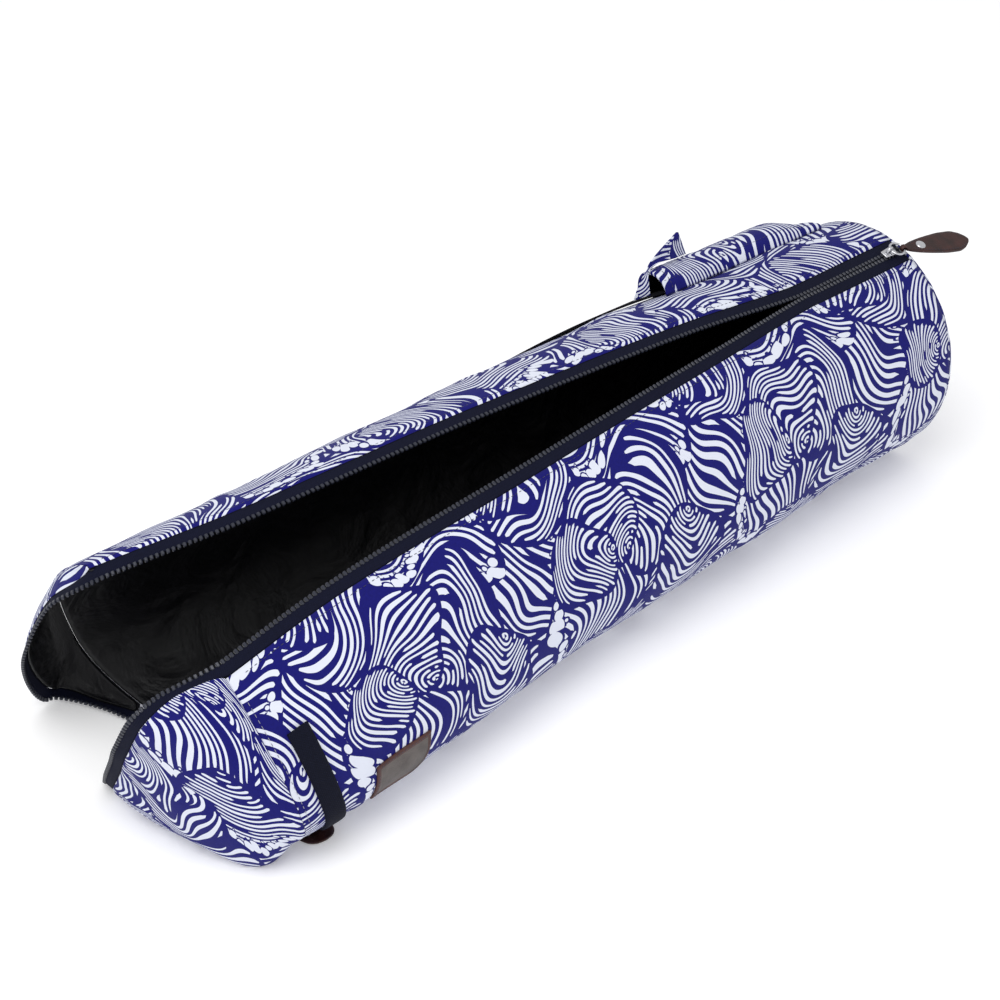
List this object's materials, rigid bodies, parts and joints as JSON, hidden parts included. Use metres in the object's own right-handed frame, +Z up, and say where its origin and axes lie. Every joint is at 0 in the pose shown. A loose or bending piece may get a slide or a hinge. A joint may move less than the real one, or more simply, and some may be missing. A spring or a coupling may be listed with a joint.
{
  "type": "yoga mat bag",
  "caption": "Soft cloth tube that carries a rolled exercise mat, with a zip drawn open along its top and down one end, a padded strap and leather trim.",
  "frame": {"origin": "on the face the bag rests on, under the middle of its body", "axes": "+X along the bag from the open end to the closed end, +Z up, -Y towards the side with the leather label"},
  "size_m": [0.803, 0.2719, 0.2091],
  "materials": {
    "printed_canvas": "matt printed cotton canvas",
    "lining_cloth": "black woven polyester with a slight sheen",
    "zip_tape": "matt navy woven tape",
    "zip_teeth": "dark moulded plastic",
    "navy_webbing": "matt navy woven webbing",
    "black_webbing": "matt black woven webbing",
    "brown_leather": "smooth dark brown leather",
    "label_leather": "worn grey-brown leather with a dark border",
    "bright_metal": "polished nickel"
  },
  "bodies": {
    "root": {"body_canvas": "printed_canvas", "body_lining": "lining_cloth", "end_panel_near": "printed_canvas", "end_lining_near": "lining_cloth", "end_panel_far": "printed_canvas", "end_lining_far": "lining_cloth", "zip_tape_near": "zip_tape", "zip_teeth_near": "zip_teeth", "zip_tape_far": "zip_tape", "zip_teeth_far": "zip_teeth", "end_panel_closed": "printed_canvas", "end_lining_closed": "lining_cloth", "end_webbing": "navy_webbing", "leather_label": "label_leather", "strap_band": "printed_canvas", "strap_webbing": "black_webbing", "strap_fold": "printed_canvas", "zip_slider": "bright_metal", "pull_ring": "bright_metal", "pull_leather": "brown_leather", "pull_rivet": "bright_metal", "pocket_pull": "brown_leather"}
  },
  "joints": []
}
